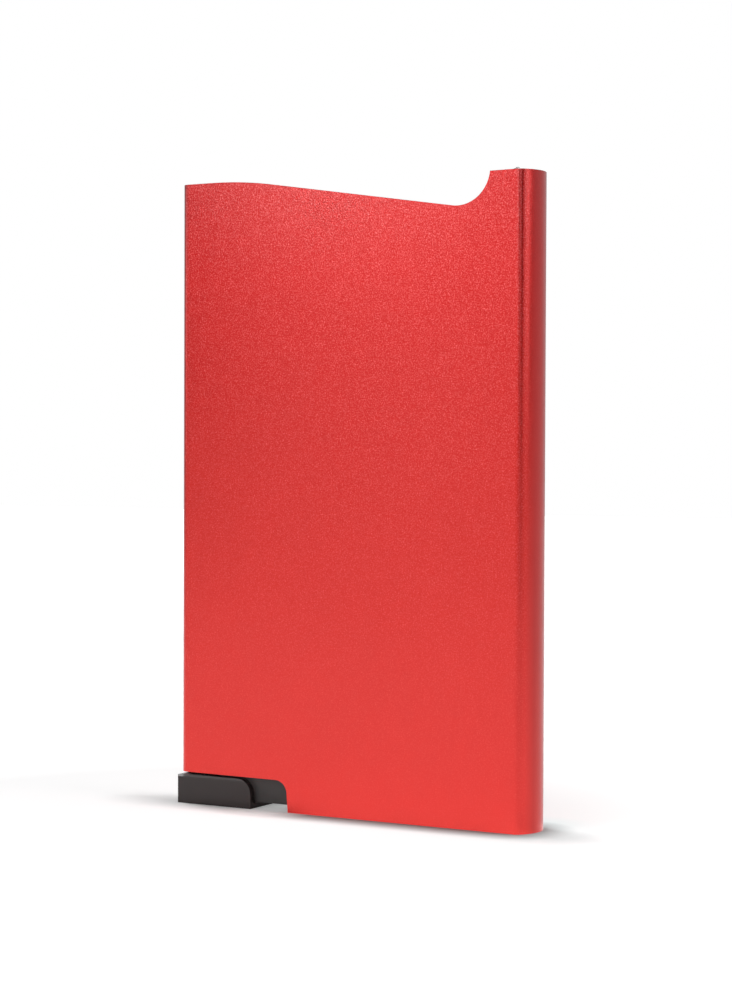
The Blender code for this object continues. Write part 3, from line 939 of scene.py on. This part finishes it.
SOFTBOXES = (
    # name, azimuth and elevation in degrees, distance, width and height in metres, brightness
    ("overhead_light", 180, 88.1, 6.0, 1.68, 0.42, 152),
    ("key_light", -30, 20, 0.35, 0.06, 0.08, 4.2),
    ("small_key_light", -33, 13, 0.35, 0.05, 0.04, 0.5),
    ("high_key_light", -24, 32, 0.40, 0.20, 0.10, 3.8),
    ("low_key_light", -30, 7, 0.35, 0.10, 0.05, 0.7),
    ("low_front_light", -21, 7, 0.35, 0.05, 0.05, 0.9),
    ("table_light", -29, 0, 0.35, 0.10, 0.04, 0.7),
    ("front_light", 8, 12, 0.5, 0.14, 0.10, 2.6),
    ("front_left_light", -8, 12, 0.5, 0.12, 0.10, 2.3),
    ("left_light", -60, 9, 0.5, 0.16, 0.12, 2.0),
    ("far_left_light", -90, 9, 0.5, 0.20, 0.12, 0.5),
    ("corner_light", 38, 14, 0.5, 0.18, 0.14, 1.15),
    ("side_light", 84, 10, 0.5, 0.10, 0.10, 2.3),
    ("high_side_light", 90, 26, 0.5, 0.16, 0.14, 4.8),
)


def softbox(name, azimuth, elevation, distance, width, height, brightness):
    """A soft light that faces the case; azimuth 0 is in front of it and 90 at its right."""
    light = bpy.data.lights.new(name, "AREA")
    light.shape = "RECTANGLE"
    light.size = width
    light.size_y = height
    light.energy = brightness * math.pi * width * height
    lamp = bpy.data.objects.new(name, light)
    lamp.visible_camera = False
    turn = Matrix.Rotation(math.radians(azimuth), 3, "Z")
    rise = Matrix.Rotation(-math.radians(elevation), 3, "X")
    way = turn @ rise @ TO_FRONT
    place = Matrix.Translation((SLEEVE_LOW + SLEEVE_HIGH) / 2 + way * distance)
    lamp.matrix_world = place @ way.to_track_quat("Z", "Y").to_matrix().to_4x4()
    bpy.context.scene.collection.objects.link(lamp)


class CARDHOLDER_OT_stage(Operator):
    """Set up the pale floor, the soft lights and the camera"""

    bl_idname = "card_holder.stage"
    bl_label = "Stage"

    def execute(self, context):
        settings = context.scene.card_holder.stage
        self.make_floor(settings)
        self.make_lights(context, settings)
        self.make_camera(context, settings)
        return {"FINISHED"}

    def make_floor(self, settings):
        """A pale square that the case stands on."""
        shape = bmesh.new()
        bmesh.ops.create_grid(shape, x_segments=1, y_segments=1, size=settings.floor_size / 2)
        floor = put_in_scene("studio_floor", shape)
        floor.data.materials.append(floor_finish(settings))

    def make_lights(self, context, settings):
        """Softboxes round the case, and a white sweep behind it that the camera sees as white."""
        world = bpy.data.worlds.new("studio")
        world.use_nodes = True
        nodes = Nodes(world.node_tree)
        sweep = nodes.tree.nodes["Background"]
        sweep.inputs["Color"].default_value = WHITE
        way = nodes.node("ShaderNodeSeparateXYZ")
        nodes.link(nodes.node("ShaderNodeTexCoord").outputs["Generated"], way.inputs["Vector"])
        behind = nodes.remap(way.outputs["Y"], *SWEEP_BACK, 0, settings.sweep, step="SMOOTHSTEP")
        low = nodes.remap(way.outputs["Z"], *SWEEP_RISE, 1, 0, step="SMOOTHSTEP")
        nodes.link(nodes.math("MULTIPLY", behind, low), sweep.inputs["Strength"])
        backdrop = nodes.node("ShaderNodeBackground")
        backdrop.inputs["Strength"].default_value = settings.backdrop
        backdrop.inputs["Color"].default_value = WHITE
        seen = nodes.node("ShaderNodeLightPath").outputs["Is Camera Ray"]
        choose = nodes.node("ShaderNodeMixShader")
        nodes.link(seen, choose.inputs["Fac"])
        nodes.link(sweep.outputs["Background"], choose.inputs[1])
        nodes.link(backdrop.outputs["Background"], choose.inputs[2])
        nodes.link(choose.outputs["Shader"], nodes.tree.nodes["World Output"].inputs["Surface"])
        context.scene.world = world
        context.scene.view_settings.view_transform = "Standard"
        for row in SOFTBOXES:
            softbox(*row)

    def make_camera(self, context, settings):
        """A camera where the photograph was taken from."""
        camera = bpy.data.cameras.new("camera")
        camera.lens = settings.lens
        camera.sensor_width = SENSOR_WIDTH
        camera.clip_start, camera.clip_end = CAMERA_SPAN
        holder = bpy.data.objects.new("camera", camera)
        turn = Matrix.Rotation(settings.heading, 4, "Z")
        tilt = Matrix.Rotation(QUARTER + settings.tilt, 4, "X")
        roll = Matrix.Rotation(settings.roll, 4, "Z")
        place = (settings.camera_right, -settings.camera_front, settings.camera_height)
        holder.matrix_world = Matrix.Translation(place) @ turn @ tilt @ roll
        context.scene.collection.objects.link(holder)
        context.scene.camera = holder


STEPS = (
    CARDHOLDER_OT_sleeve,
    CARDHOLDER_OT_slider,
    CARDHOLDER_OT_insert,
    CARDHOLDER_OT_lever,
    CARDHOLDER_OT_pin,
    CARDHOLDER_OT_strips,
    CARDHOLDER_OT_stage,
)


class CARDHOLDER_PT_panel(Panel):
    """Lists the pieces and their sizes"""

    bl_idname = "CARDHOLDER_PT_panel"
    bl_label = "Card Holder"
    bl_space_type = "VIEW_3D"
    bl_region_type = "UI"
    bl_category = "Card Holder"

    def draw(self, context):
        layout = self.layout
        for step in STEPS:
            layout.operator(step.bl_idname)
        settings = context.scene.card_holder
        for group_name in ("sleeve", "slider", "inside", "finishes", "stage"):
            group = getattr(settings, group_name)
            box = layout.box()
            box.label(text=group_name.capitalize())
            for setting in group.__annotations__:
                box.prop(group, setting)


CLASSES = (
    SleeveSizes,
    SliderSizes,
    InsideSizes,
    Finishes,
    StageSettings,
    CardHolderSettings,
    *STEPS,
    CARDHOLDER_PT_panel,
)


def register():
    """Adds the settings, the operators and the panel."""
    for cls in CLASSES:
        bpy.utils.register_class(cls)
    bpy.types.Scene.card_holder = PointerProperty(type=CardHolderSettings)


def unregister():
    """Takes them away again."""
    del bpy.types.Scene.card_holder
    for cls in reversed(CLASSES):
        bpy.utils.unregister_class(cls)


def main():
    """Builds the pieces and the stage."""
    register()
    bpy.ops.card_holder.sleeve()
    bpy.ops.card_holder.slider()
    bpy.ops.card_holder.insert()
    bpy.ops.card_holder.lever()
    bpy.ops.card_holder.pin()
    bpy.ops.card_holder.strips()
    bpy.ops.card_holder.stage()


if __name__ == "__main__":
    main()
